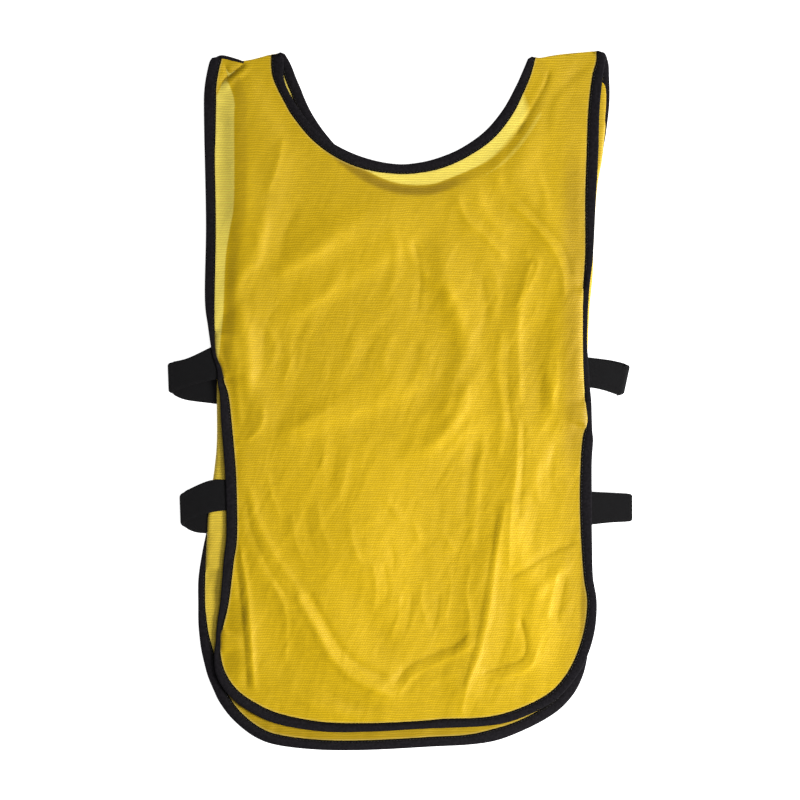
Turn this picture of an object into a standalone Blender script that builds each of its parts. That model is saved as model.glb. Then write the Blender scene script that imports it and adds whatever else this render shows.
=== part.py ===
"""Mesh training bib, laid flat on a surface with its front up.

A front and a back panel of mesh cloth lie on each other and meet at the shoulders. Folded tape
binds each panel's outer edge and neck, and four elastic straps, folded into flat loops, join
the two panels at the sides.

Metres, +Z up, +Y towards the shoulders, +X to the right as seen from above. The origin is on
the surface, under the middle of the bib. The sizes and tables below are in millimetres.
"""

import math

import bmesh
import bpy
import numpy as np
from mathutils import Vector
from mathutils.bvhtree import BVHTree

MM = 0.001

# Thicknesses, widths and gaps
CLOTH_WALL = 1.0
TAPE_WALL = 1.8
TAPE_WIDTH = 10.0
TAPE_ROUNDING = 0.6
ELASTIC_WALL = 1.4
SEAM_GAP = 0.3
LAY_GAP = 0.4
STRAP_GAP = 0.6

# Spacing of the cloth's cells and of the sections along its edges
CELL = 13.0
STATION = 14.0
EDGE_STRIP = 1.4
MERGE = 0.5
CURVE_PARTS = 12
MITRE_LIMIT = 0.5

# How the cloth climbs over a tape that is turned under it
COVERED_BELOW = 6.2
TURNED_UNDER = -2.0
CLIMB = TAPE_WALL + 0.6
CLIMB_FLAT = 12.0
CLIMB_END = 42.0
LIP_DROP = 1.6
SHOULDER_RAISE = TAPE_WALL - CLOTH_WALL
SHOULDER_RAMP = 9.0

# How the front lies on what is under it
DRAPE_CELL = 3.0
DRAPE_MARGIN = 40.0
DRAPE_REACH = 15.0
DRAPE_SOFTENING = 6.0
FRONT_LOFT = 1.3
LOFT_RAMP = 30.0

# Cloth edges: across is X, along is Y, tape is how far the binding shows beyond the cloth.
# A side runs down from the shoulder, the hem runs from left to right.
FRONT_LEFT = (
    # across, along, tape
    (-166, 318, 8.8),
    (-170, 298, 9.8),
    (-173, 274, 9.8),
    (-172, 223, 9.3),
    (-171, 160, 9.3),
    (-172, 95, 9.3),
    (-172, 69, 6.4),
    (-171, 43, 3.3),
    (-166, 30, 4.2),
    (-163, 17, 6.4),
    (-159, 4, 8.2),
    (-156, -22, 9.8),
    (-152, -70, 10.2),
    (-151, -125, 10.2),
    (-156, -166, 9.3),
    (-159, -192, 8.2),
    (-164, -208, 5.1),
    (-168, -223, 3.3),
    (-167, -240, 3.7),
    (-163, -253, 6.4),
)
FRONT_HEM = (
    # across, along, tape
    (-156, -264, 8.0),
    (-140, -278, 8.8),
    (-112, -292, 9.3),
    (-71, -299, 8.8),
    (-26, -300, 7.9),
    (19, -298, 7.4),
    (41, -296, 8.6),
    (74, -295, 8.1),
    (97, -291, 8.8),
    (121, -282, 8.8),
    (140, -271, 8.8),
)
FRONT_RIGHT = (
    # across, along, tape
    (181, 324, 9.8),
    (178, 296, 10.9),
    (174, 264, 11.4),
    (173, 228, 11.2),
    (172, 186, 9.8),
    (172, 135, 7.3),
    (170, 102, 5.6),
    (169, 51, 3.9),
    (170, 23, 4.7),
    (172, 0, 4.9),
    (173, -20, 5.6),
    (170, -35, 8.8),
    (167, -65, 10.5),
    (166, -112, 11.2),
    (167, -140, 10.7),
    (171, -166, 8.4),
    (174, -188, 8.8),
    (171, -214, 9.8),
    (163, -239, 9.8),
    (153, -257, 8.8),
)
FRONT_NECK = (
    # across, along, tape
    (-120, 321, 11.2),
    (-120, 301, 12.0),
    (-113, 286, 9.8),
    (-100, 264, 8.6),
    (-82, 242, 9.0),
    (-59, 225, 10.2),
    (-32, 214, 10.4),
    (-4, 210, 9.3),
    (19, 211, 9.8),
    (41, 216, 10.4),
    (63, 226, 10.2),
    (86, 242, 10.6),
    (104, 264, 10.2),
    (116, 288, 9.1),
    (122, 303, 8.4),
    (126, 318, 6.4),
)
BACK_LEFT = (
    # across, along, tape
    (-166, 318, 8.4),
    (-157, 299, 8.0),
    (-154, 279, 6.4),
    (-154, 258, TURNED_UNDER),
    (-154, 186, TURNED_UNDER),
    (-158, 158, TURNED_UNDER),
    (-162, 130, TURNED_UNDER),
    (-164, 83, TURNED_UNDER),
    (-167, 51, TURNED_UNDER),
    (-170, 14, TURNED_UNDER),
    (-170, -35, TURNED_UNDER),
    (-172, -61, TURNED_UNDER),
    (-178, -106, TURNED_UNDER),
    (-179, -123, 0.9),
    (-180, -141, 3.7),
    (-181, -166, 6.4),
    (-181, -190, 6.6),
    (-178, -219, 8.8),
    (-174, -242, 9.3),
)
BACK_HEM = (
    # across, along, tape
    (-164, -270, 9.3),
    (-149, -289, 9.8),
    (-130, -304, 10.2),
    (-107, -312, 10.0),
    (-71, -316, 9.4),
    (-26, -316, 9.3),
    (30, -313, 9.3),
    (63, -311, 9.6),
    (86, -306, 11.2),
    (108, -299, 10.2),
    (130, -288, 10.2),
)
BACK_RIGHT = (
    # across, along, tape
    (181, 324, 9.3),
    (185, 301, 9.8),
    (185, 280, 9.8),
    (184, 260, 8.8),
    (185, 238, 5.1),
    (187, 220, 0.9),
    (183, 195, TURNED_UNDER),
    (180, 149, TURNED_UNDER),
    (179, 116, TURNED_UNDER),
    (176, 84, TURNED_UNDER),
    (174, 43, TURNED_UNDER),
    (171, 19, 2.8),
    (169, -19, 9.3),
    (168, -65, 9.3),
    (167, -130, 9.8),
    (167, -186, 9.8),
    (165, -234, 9.8),
    (158, -259, 10.2),
    (146, -276, 10.2),
)
BACK_NECK = (
    # across, along, tape
    (-120, 321, 10.0),
    (-112, 303, 9.4),
    (-103, 281, 9.3),
    (-91, 260, 9.8),
    (-76, 240, 9.8),
    (-56, 219, 9.8),
    (-30, 201, 9.8),
    (-2, 191, 9.8),
    (28, 190, 9.8),
    (51, 197, 9.8),
    (84, 212, 9.8),
    (104, 229, 9.8),
    (121, 251, 9.8),
    (133, 273, 9.3),
    (139, 294, 8.4),
    (136, 309, 7.4),
    (126, 318, 6.4),
)
SHOULDER_LEFT = ((-166, 318), (-152, 315), (-139, 316), (-120, 321))
SHOULDER_RIGHT = ((126, 318), (131, 318), (149, 321), (181, 324))

# Main folds of the front: each is a soft ridge, or a trough where its height is negative.
FOLD_END = 0.2
FOLDS = (
    # half_width, height, route
    (13, 2.4, ((-124, 112), (-65, 149), (-5, 177))),
    (10, 2.0, ((-107, 242), (-126, 181), (-135, 140), (-156, 102))),
    (9, 1.8, ((-153, 112), (-149, 56), (-142, 9), (-126, -14), (-149, -37))),
    (12, 2.4, ((33, 149), (51, 93), (65, 60), (56, 9), (47, -28))),
    (12, 2.8, ((130, 130), (112, 84), (102, 47), (107, -19), (109, -84))),
    (12, 2.8, ((109, -84), (84, -153), (79, -200), (65, -246), (60, -288))),
    (10, 2.2, ((102, 228), (107, 209), (126, 177), (146, 135))),
    (9, 1.8, ((130, 265), (121, 228), (112, 195))),
    (9, 1.6, ((58, 200), (65, 163), (93, 135))),
    (10, 2.0, ((121, 56), (126, -37), (140, -60))),
    (10, 1.8, ((9, -51), (102, -14))),
    (11, 1.8, ((-116, -37), (-51, -5))),
    (10, 2.6, ((-144, -98), (-126, -153), (-107, -191), (-84, -209), (-74, -233), (-9, -274))),
    (9, 1.8, ((-149, -130), (-138, -200), (-135, -265))),
    (9, -1.1, ((65, -219), (23, -242), (-3, -270))),
    (8, -1.0, ((107, -228), (84, -246), (65, -284))),
    (9, -1.0, ((21, 163), (28, 102), (23, 60))),
)

# Elastic straps: each row is a section from the front's binding, out, round and back.
# In the first and the last row across is 0: those ends follow the edges that they meet.
STRAPS = {
    "strap_left_upper": (
        # top_across, top_along, bottom_across, bottom_along, height
        (0, 47, 0, 20, 4.4),
        (-197, 39, -193, 14, 4.2),
        (-214, 35, -213, 7, 3.3),
        (-214, 34, -213, 6, 0.7),
        (-196, 29, -199, 0, 0.7),
        (0, 25, 0, -4, 0.7),
    ),
    "strap_left_lower": (
        # top_across, top_along, bottom_across, bottom_along, height
        (0, -74, 0, -102, 4.4),
        (-178, -75, -178, -105, 4.6),
        (-203, -86, -202, -114, 3.3),
        (-203, -90, -202, -118, 0.7),
        (-192, -93, -190, -123, 0.7),
        (0, -96, 0, -124, 0.7),
    ),
    "strap_right_upper": (
        # top_across, top_along, bottom_across, bottom_along, height
        (0, 39, 0, 12, 4.4),
        (190, 37, 189, 9, 4.1),
        (210, 31, 204, 4, 3.3),
        (213, 33, 207, 5, 0.7),
        (196, 37, 193, 9, 0.7),
        (0, 40, 0, 12, 0.7),
    ),
    "strap_right_lower": (
        # top_across, top_along, bottom_across, bottom_along, height
        (0, -85, 0, -116, 3.1),
        (195, -86, 195, -114, 3.3),
        (214, -87, 214, -113, 3.3),
        (214, -87, 214, -113, 0.7),
        (195, -86, 195, -113, 0.7),
        (0, -85, 0, -115, 0.7),
    ),
}
LAYER_STATIONS = 5
TURN_STATIONS = 6
TURN_RADIUS = 1.3

# Colours as Base Color, with roughness
CLOTH_COLOUR = (0.73, 0.48, 0.03, 1)
BINDING_COLOUR = (0.014, 0.013, 0.011, 1)
ELASTIC_COLOUR = (0.011, 0.011, 0.012, 1)


def clear_scene():
    for thing in list(bpy.data.objects):
        bpy.data.objects.remove(thing)


def material(name, colour, roughness):
    """A Principled BSDF material."""
    made = bpy.data.materials.new(name)
    made.use_nodes = True
    shader = made.node_tree.nodes["Principled BSDF"]
    shader.inputs["Base Color"].default_value = colour
    shader.inputs["Roughness"].default_value = roughness
    made.diffuse_color = colour
    return made


def smooth_path(rows, spacing):
    """Rows joined by a Catmull-Rom curve, read at even distances. The first two columns are X, Y."""
    rows = np.array(rows, float)
    padded = np.vstack([2 * rows[0] - rows[1], rows, 2 * rows[-1] - rows[-2]])
    parts = np.linspace(0, 1, CURVE_PARTS, endpoint=False)[:, None]
    dense = []
    for before, start, end, after in zip(padded, padded[1:], padded[2:], padded[3:]):
        dense.append(
            0.5 * (2 * start + (end - before) * parts
                   + (2 * before - 5 * start + 4 * end - after) * parts**2
                   + (3 * start - before - 3 * end + after) * parts**3)
        )
    dense = np.vstack(dense + [rows[-1:]])
    steps = np.linalg.norm(np.diff(dense[:, :2], axis=0), axis=1)
    length = np.concatenate([[0], np.cumsum(steps)])
    count = max(2, round(length[-1] / spacing) + 1)
    places = np.linspace(0, length[-1], count)
    return np.column_stack([np.interp(places, length, column) for column in dense.T])


def outward(path, closed=False):
    """Unit normals to the right of an X, Y path, lengthened at a closed path's corners."""
    if closed:
        before = path - np.roll(path, 1, axis=0)
        after = np.roll(path, -1, axis=0) - path
    else:
        after = np.diff(path, axis=0, append=2 * path[-1:] - path[-2:-1])
        before = np.vstack([after[:1], after[:-1]])
    before = before / np.linalg.norm(before, axis=1, keepdims=True)
    after = after / np.linalg.norm(after, axis=1, keepdims=True)
    middle = before + after
    middle /= np.linalg.norm(middle, axis=1, keepdims=True)
    normals = np.column_stack([middle[:, 1], -middle[:, 0]])
    if closed:
        normals /= np.maximum((middle * after).sum(axis=1, keepdims=True), MITRE_LIMIT)
    return normals


def nearest(points, path, values=None):
    """Distance from each point to a path, and the path's values where it is nearest."""
    start = path[None, :-1]
    step = np.diff(path, axis=0)[None]
    offset = points[:, None] - start
    along = np.clip((offset * step).sum(axis=2) / (step * step).sum(axis=2), 0, 1)
    distance = np.linalg.norm(offset - along[..., None] * step, axis=2)
    best = distance.argmin(axis=1)
    rows = np.arange(len(points))
    if values is None:
        return distance[rows, best]
    part = along[rows, best, None]
    return distance[rows, best], values[best] * (1 - part) + values[best + 1] * part


def fade(distance, flat, end):
    """1 up to flat, 0 from end on, and a smooth fall between."""
    part = np.clip((distance - flat) / (end - flat), 0, 1)
    return 0.5 * (1 + np.cos(math.pi * part))


def fold_height(points):
    """Height of the front's folds over its plain lie."""
    total = np.zeros(len(points))
    for half_width, height, route in FOLDS:
        path = smooth_path(route, half_width)
        ends = np.array([[FOLD_END]] + [[1.0]] * (len(path) - 2) + [[FOLD_END]])
        distance, strength = nearest(points, path, ends)
        total += height * strength[:, 0] * np.exp(-((distance / half_width) ** 2))
    return total


def with_neighbours(flags, combine):
    """Each flag of a row combined with the one before it and the one after it."""
    padded = np.concatenate([flags[:1], flags, flags[-1:]])
    return combine([padded[:-2], padded[1:-1], padded[2:]], axis=0).astype(float)


class Edge:
    """One bound edge of a panel: the cloth's edge, and where the tape lies along it.

    Where little or nothing of the tape shows it is turned under: the cloth climbs over it there,
    from one section before to one after, and over hidden tape the cloth ends in a lip.
    """

    def __init__(self, rows):
        path = smooth_path(rows, STATION)
        self.points = path[:, :2]
        self.normals = outward(self.points)
        covered = path[:, 2] < COVERED_BELOW
        hidden = path[:, 2] < 0
        self.outer = np.where(hidden, TURNED_UNDER, path[:, 2])
        self.inner = np.where(covered, self.outer - TAPE_WIDTH, SEAM_GAP)
        self.climb = with_neighbours(covered, np.any)
        self.lip = with_neighbours(hidden, np.all)

    def tape_edge(self):
        return self.points + self.normals * self.outer[:, None]


class Panel:
    """The outline and the bound edges of one panel."""

    def __init__(self, left, hem, right, neck):
        self.side = Edge(left + hem + right[::-1])
        self.neck = Edge(neck[::-1])
        lines = [smooth_path(rows, STATION) for rows in (SHOULDER_RIGHT, SHOULDER_LEFT)]
        self.shoulders = lines
        self.outline = np.vstack([
            self.side.points,
            lines[0][::-1][1:-1],
            self.neck.points,
            lines[1][::-1][1:-1],
        ])

    def climb_and_lip(self, points):
        """How far the cloth climbs over tape that is turned under it, less the lip at its edge."""
        total = np.zeros(len(points))
        for edge in (self.side, self.neck):
            values = np.column_stack([edge.climb, edge.lip])
            distance, value = nearest(points, edge.points, values)
            total += CLIMB * value[:, 0] * fade(distance, CLIMB_FLAT, CLIMB_END)
            total -= LIP_DROP * value[:, 1] * np.clip(1 - distance / EDGE_STRIP, 0, 1)
        return total

    def from_shoulder(self, points):
        return np.minimum(*(nearest(points, line) for line in self.shoulders))

    def from_edge(self, points):
        closed = np.vstack([self.outline, self.outline[:1]])
        return nearest(points, closed)


def spread(heights, reach, combine):
    """Each height of a grid combined with those that lie within reach cells of it."""
    padded = np.pad(heights, reach, mode="edge")
    rows, columns = heights.shape
    shifted = [
        padded[reach + i:reach + i + rows, reach + j:reach + j + columns]
        for i in range(-reach, reach + 1)
        for j in range(-reach, reach + 1)
        if math.hypot(i, j) <= reach
    ]
    return combine(shifted, axis=0)


def surface_over(pieces, low, high):
    """A function giving the smooth height at which cloth rests on these pieces, with a gap."""
    graph = bpy.context.evaluated_depsgraph_get()
    trees = [BVHTree.FromObject(piece, graph) for piece in pieces]
    across = np.arange(low[0] - DRAPE_MARGIN, high[0] + DRAPE_MARGIN, DRAPE_CELL)
    along = np.arange(low[1] - DRAPE_MARGIN, high[1] + DRAPE_MARGIN, DRAPE_CELL)
    heights = np.zeros((len(across), len(along)))
    down = Vector((0, 0, -1))
    for i, x in enumerate(across):
        for j, y in enumerate(along):
            for tree in trees:
                hit = tree.ray_cast(Vector((x * MM, y * MM, 1)), down)[0]
                if hit:
                    heights[i, j] = max(heights[i, j], hit.z / MM + LAY_GAP)
    heights = spread(heights, round(DRAPE_REACH / DRAPE_CELL), np.max)
    heights = spread(heights, round(DRAPE_SOFTENING / DRAPE_CELL), np.mean)

    def rest(points):
        place = (points - (across[0], along[0])) / DRAPE_CELL
        cell = np.clip(place.astype(int), 0, np.array(heights.shape) - 2)
        (i, j), (s, t) = cell.T, (place - cell).T
        near = heights[i, j] * (1 - s) + heights[i + 1, j] * s
        far = heights[i, j + 1] * (1 - s) + heights[i + 1, j + 1] * s
        return near * (1 - t) + far * t

    return rest


def add_object(name, mesh, look, collection):
    """An object at the origin from a bmesh in millimetres."""
    bmesh.ops.scale(mesh, vec=(MM, MM, MM), verts=mesh.verts[:])
    data = bpy.data.meshes.new(name)
    mesh.to_mesh(data)
    mesh.free()
    data.materials.append(look)
    data.shade_smooth()
    made = bpy.data.objects.new(name, data)
    collection.objects.link(made)
    bpy.context.view_layer.update()
    return made


def cloth_panel(name, panel, height, look, collection):
    """The panel's outline, cut into cells, lifted to its height and thickened."""
    mesh = bmesh.new()
    inset = panel.outline - outward(panel.outline, closed=True) * EDGE_STRIP
    rings = [[mesh.verts.new((x, y, 0)) for x, y in ring] for ring in (panel.outline, inset)]
    outer, inner = rings
    for here in range(len(outer)):
        after = (here + 1) % len(outer)
        mesh.faces.new((outer[here], outer[after], inner[after], inner[here]))
    mesh.faces.new(inner)
    low = panel.outline.min(axis=0)
    high = panel.outline.max(axis=0)
    for axis in (0, 1):
        normal = Vector((axis == 0, axis == 1, 0))
        for place in np.arange(low[axis] + CELL / 2, high[axis], CELL):
            whole = mesh.verts[:] + mesh.edges[:] + mesh.faces[:]
            bmesh.ops.bisect_plane(mesh, geom=whole, plane_co=normal * place, plane_no=normal)
    bmesh.ops.remove_doubles(mesh, verts=mesh.verts[:], dist=MERGE)
    bmesh.ops.triangulate(mesh, faces=mesh.faces[:])
    bmesh.ops.recalc_face_normals(mesh, faces=mesh.faces[:])
    heights = height(np.array([(vert.co.x, vert.co.y) for vert in mesh.verts]))
    for vert, z in zip(mesh.verts, heights):
        vert.co.z = z + CLOTH_WALL / 2
    made = add_object(name, mesh, look, collection)
    wall = made.modifiers.new("wall", "SOLIDIFY")
    wall.thickness = CLOTH_WALL * MM
    wall.offset = 0
    return made


def loft(name, sections, look, collection):
    """A closed solid through sections with the same number of corners."""
    mesh = bmesh.new()
    rings = [[mesh.verts.new(corner) for corner in section] for section in sections]
    for ring, following in zip(rings, rings[1:]):
        for here in range(len(ring)):
            after = (here + 1) % len(ring)
            mesh.faces.new((ring[here], ring[after], following[after], following[here]))
    mesh.faces.new(rings[0])
    mesh.faces.new(rings[-1])
    bmesh.ops.recalc_face_normals(mesh, faces=mesh.faces[:])
    made = add_object(name, mesh, look, collection)
    made.data.set_sharp_from_angle(angle=math.radians(50))
    return made


def binding(name, edge, height, look, collection):
    """Folded tape along a cloth edge: a flat section with a rounded outer side."""
    inner = edge.points + edge.normals * edge.inner[:, None]
    outer = edge.tape_edge()
    low_inner = height(inner)
    low_outer = height(outer)
    turn_in = edge.normals * TAPE_ROUNDING
    flat_outer = outer - turn_in
    sections = []
    for station in range(len(inner)):
        low, far = low_inner[station], low_outer[station]
        sections.append((
            (*inner[station], low),
            (*flat_outer[station], far),
            (*outer[station], far + TAPE_ROUNDING),
            (*outer[station], far + TAPE_WALL - TAPE_ROUNDING),
            (*flat_outer[station], far + TAPE_WALL),
            (*inner[station], low + TAPE_WALL),
        ))
    return loft(name, sections, look, collection)


def edge_across(line, along, side):
    """Where a tape's or a cloth's edge line lies across, at one height up the bib's side."""
    half = line[np.sign(line[:, 0]) == side]
    half = half[np.argsort(half[:, 1])]
    return np.interp(along, half[:, 1], half[:, 0])


def strap(name, rows, front_line, back_line, look, collection):
    """A flat elastic loop: out from the front's binding, round, and back to the back's edge."""
    rows = np.array(rows, float)
    side = np.sign(rows[1, 0])
    for row, line in ((rows[0], front_line), (rows[-1], back_line)):
        for column in (0, 2):
            row[column] = edge_across(line, row[column + 1], side) + side * STRAP_GAP
    split = len(rows) // 2
    layers = []
    for layer in (rows[:split], rows[split:]):
        parts = np.linspace(0, split - 1, LAYER_STATIONS * (split - 1))
        layers.append(np.column_stack([np.interp(parts, range(split), c) for c in layer.T]))
    front, back = layers
    turn = []
    for angle in np.linspace(0, math.pi, TURN_STATIONS + 2)[1:-1]:
        part = (1 - math.cos(angle)) / 2
        row = front[-1] * (1 - part) + back[0] * part
        row[[0, 2]] += side * TURN_RADIUS * math.sin(angle)
        turn.append(row)
    path = np.vstack([front, turn, back])
    tops = path[:, [0, 1, 4]]
    bottoms = path[:, [2, 3, 4]]
    travel = np.gradient((tops + bottoms) / 2, axis=0)
    normals = np.cross(travel, tops - bottoms)
    normals *= ELASTIC_WALL / 2 / np.linalg.norm(normals, axis=1, keepdims=True)
    sections = list(zip(tops + normals, bottoms + normals, bottoms - normals, tops - normals))
    return loft(name, sections, look, collection)


def build():
    clear_scene()
    bib = bpy.data.collections.new("mesh_training_bib")
    bpy.context.scene.collection.children.link(bib)
    cloth = material("yellow mesh cloth", CLOTH_COLOUR, 0.5)
    tape = material("black binding tape", BINDING_COLOUR, 0.6)
    elastic = material("black woven elastic", ELASTIC_COLOUR, 0.7)

    back = Panel(BACK_LEFT, BACK_HEM, BACK_RIGHT, BACK_NECK)
    front = Panel(FRONT_LEFT, FRONT_HEM, FRONT_RIGHT, FRONT_NECK)

    def back_height(points):
        near_shoulder = fade(back.from_shoulder(points), 0, SHOULDER_RAMP)
        return back.climb_and_lip(points) + SHOULDER_RAISE * near_shoulder

    def on_the_floor(points):
        return np.zeros(len(points))

    lower = [
        cloth_panel("back_panel", back, back_height, cloth, bib),
        binding("edge_binding_back", back.side, on_the_floor, tape, bib),
        binding("neck_binding_back", back.neck, on_the_floor, tape, bib),
    ]
    rest = surface_over(lower, front.outline.min(axis=0), front.outline.max(axis=0))

    def front_lie(points):
        loft_share = 1 - fade(front.from_edge(points), 0, LOFT_RAMP)
        return rest(points) + (FRONT_LOFT + fold_height(points)) * loft_share

    def front_height(points):
        return front_lie(points) + front.climb_and_lip(points)

    cloth_panel("front_panel", front, front_height, cloth, bib)
    binding("edge_binding_front", front.side, rest, tape, bib)
    binding("neck_binding_front", front.neck, rest, tape, bib)

    front_line = front.side.tape_edge()
    back_line = back.side.points + back.side.normals * np.maximum(back.side.outer, 0)[:, None]
    for name, rows in STRAPS.items():
        strap(name, rows, front_line, back_line, elastic, bib)


build()
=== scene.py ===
import math

import bmesh
import bpy
import numpy as np
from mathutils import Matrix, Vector, geometry
from mathutils.bvhtree import BVHTree
from mathutils.kdtree import KDTree


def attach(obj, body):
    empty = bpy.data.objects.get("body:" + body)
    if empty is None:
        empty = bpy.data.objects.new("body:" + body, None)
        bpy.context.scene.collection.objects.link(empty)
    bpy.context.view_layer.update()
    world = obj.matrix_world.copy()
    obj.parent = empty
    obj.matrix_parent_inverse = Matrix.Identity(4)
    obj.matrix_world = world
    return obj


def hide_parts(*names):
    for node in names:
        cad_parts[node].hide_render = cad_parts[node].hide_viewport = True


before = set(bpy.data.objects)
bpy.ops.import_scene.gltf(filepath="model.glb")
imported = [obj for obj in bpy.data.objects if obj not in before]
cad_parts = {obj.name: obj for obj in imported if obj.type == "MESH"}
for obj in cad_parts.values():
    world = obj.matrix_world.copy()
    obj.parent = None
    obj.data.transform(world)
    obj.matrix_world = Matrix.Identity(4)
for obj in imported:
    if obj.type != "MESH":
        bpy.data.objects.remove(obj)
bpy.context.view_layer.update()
MM = 0.001


# The surface, the camera and the light
# A plain white surface, lit from within so that no shadow shows on it, under a camera that looks
# straight down. The main light is a softbox at the lower right. A weaker one hangs higher, at the
# upper right.


def linear(hex_colour):
    """An sRGB hex colour as the linear one that a shader takes."""
    parts = [int(hex_colour[i:i + 2], 16) / 255 for i in (1, 3, 5)]
    return tuple(p / 12.92 if p <= 0.04045 else ((p + 0.055) / 1.055) ** 2.4 for p in parts) + (1,)


def add_node(tree, kind, inputs=None, **settings):
    """A shader node: its settings, then its inputs as values or as sockets to link."""
    node = tree.nodes.new("ShaderNode" + kind)
    for key, value in settings.items():
        setattr(node, key, value)
    for key, value in (inputs or {}).items():
        if isinstance(value, bpy.types.NodeSocket):
            tree.links.new(value, node.inputs[key])
        else:
            node.inputs[key].default_value = value
    return node


bpy.ops.mesh.primitive_plane_add(size=6, location=(0, 0, 0))
surface = bpy.context.object
surface.name = "white_surface"

paper = bpy.data.materials.new("white paper")
paper.use_nodes = True
paper_shader = paper.node_tree.nodes["Principled BSDF"]
paper_shader.inputs["Base Color"].default_value = linear("#FAFAFA")
paper_shader.inputs["Roughness"].default_value = 0.9
paper_shader.inputs["Emission Color"].default_value = linear("#FFFFFF")
paper_shader.inputs["Emission Strength"].default_value = 0.85
surface.data.materials.append(paper)

bpy.ops.object.camera_add(location=(0, 0, 2.5), rotation=(0, 0, 0))
camera = bpy.context.object
camera.name = "camera"
camera.data.sensor_width = 36
camera.data.lens = 120.97
bpy.context.scene.camera = camera

LIGHTS = (
    # name, location, size, power
    ("softbox_right", (1.45, -0.55, 1.00), 0.7, 45),
    ("softbox_overhead", (0.75, 0.45, 1.90), 1.0, 9),
)
for name, location, size, power in LIGHTS:
    bpy.ops.object.light_add(type="AREA", location=location)
    lamp = bpy.context.object
    lamp.name = name
    lamp.rotation_euler = Vector(location).to_track_quat("Z", "Y").to_euler()
    lamp.data.shape = "DISK"
    lamp.data.size = size
    lamp.data.energy = power

world = bpy.data.worlds.new("pale room")
world.use_nodes = True
world.node_tree.nodes["Background"].inputs["Color"].default_value = linear("#F4F5F7")
world.node_tree.nodes["Background"].inputs["Strength"].default_value = 0.18
bpy.context.scene.world = world
bpy.context.scene.view_settings.view_transform = "Standard"


# The back panel
# One piece of fine yellow mesh, knitted from shiny polyester, cut with a lower neck than the
# front. It lies flat on the surface, and most of each side is rolled over its own binding.

# Cloth edges in mm, as seen from above: tape is how far the binding shows beyond the cloth, and
# less than nothing where it is turned under. A side runs down, the hem runs from left to right.
BACK_LEFT = (
    # across, along, tape
    (-164, 310, -2), (-161, 299, -2), (-154, 279, -2), (-154, 258, -2), (-154, 186, -2),
    (-158, 158, -2), (-162, 130, -2), (-164, 83, -2), (-167, 51, -2), (-170, 14, -2),
    (-170, -35, -2), (-172, -61, -2), (-178, -106, -2), (-179, -123, 0.9), (-180, -141, 3.7),
    (-181, -166, 6.4), (-181, -190, 6.6), (-179.6, -204, 8.0), (-178, -216, 8.8),
    (-175, -227.5, 10.5), (-171.5, -240, 11.3), (-168, -253, 11.3), (-163.5, -265, 10.8),
)
BACK_HEM = (
    # across, along, tape
    (-158.5, -276, 10.5), (-147.5, -290.5, 10.2), (-130, -304.3, 10.2), (-110, -311.5, 10.0),
    (-71, -316, 9.4), (-26, -316, 9.3), (30, -313, 9.3), (63, -311, 9.6), (86, -306, 11.2),
    (108, -299, 10.2), (130, -288, 10.2),
)
BACK_RIGHT = (
    # across, along, tape
    (181, 324, 9.3), (184.5, 309, 10.0), (189, 297.5, 6.0), (192, 289.5, 3.0), (192.4, 277, 2.4),
    (191.6, 263, 1.9), (190.2, 247, 1.2), (188.9, 236, 0.6), (187.5, 222, 0.0), (183, 195, -2),
    (180, 149, -2), (179, 116, -2), (176, 84, -2), (174, 43, -2), (171, 19, 2.8), (169, -19, 9.3),
    (168, -65, 9.3), (167, -130, 9.8), (167, -186, 9.8), (165, -234, 9.8), (158, -259, 10.2),
    (146, -276, 10.2),
)
BACK_NECK = (
    # across, along, tape
    (-116, 321, 8.0), (-110.5, 309, 9.5), (-105.8, 296, 9.9), (-101.2, 285, 10.0),
    (-97, 274, 10.2), (-88.5, 259, 9.5), (-75.5, 240, 9.8), (-56, 219, 9.8), (-30, 201, 9.8),
    (-2, 191, 9.8), (28, 190, 9.8), (51, 197, 9.8), (84, 212, 9.8), (104, 229, 9.8),
    (121, 251, 9.8), (133, 273, 9.3), (139, 294, 8.4), (136, 309, 7.4), (126, 318, 6.4),
)
SHOULDER_LEFT = ((-166, 318), (-152, 315), (-139, 316), (-120, 321))
SHOULDER_RIGHT = ((126, 318), (131, 318), (149, 321), (181, 324))
STATION = 3.0
TAPE_WIDTH = 10.0
TAPE_WALL = 1.8
TUCKED_IN = 3.0
SIDE_CORNER = 6.0
NECK_CORNER = 2.5
# The cloth lies over its tape where less than about 5 mm of the tape shows.
UNDER_CLOTH = (-6.4, -4.9)


def smooth_path(rows, spacing):
    """Rows joined by a Catmull-Rom curve, read at even distances. The first two columns are X, Y."""
    rows = np.array(rows, float)
    padded = np.vstack([2 * rows[0] - rows[1], rows, 2 * rows[-1] - rows[-2]])
    parts = np.linspace(0, 1, 12, endpoint=False)[:, None]
    dense = []
    for before, start, end, after in zip(padded, padded[1:], padded[2:], padded[3:]):
        dense.append(
            0.5 * (2 * start + (end - before) * parts
                   + (2 * before - 5 * start + 4 * end - after) * parts**2
                   + (3 * start - before - 3 * end + after) * parts**3)
        )
    dense = np.vstack(dense + [rows[-1:]])
    steps = np.linalg.norm(np.diff(dense[:, :2], axis=0), axis=1)
    length = np.concatenate([[0], np.cumsum(steps)])
    places = np.linspace(0, length[-1], max(2, round(length[-1] / spacing) + 1))
    return np.column_stack([np.interp(places, length, column) for column in dense.T])


def outward(path):
    """Unit normals to the right of an X, Y path."""
    travel = np.gradient(path, axis=0)
    travel /= np.linalg.norm(travel, axis=1, keepdims=True)
    return np.column_stack([travel[:, 1], -travel[:, 0]])


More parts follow.
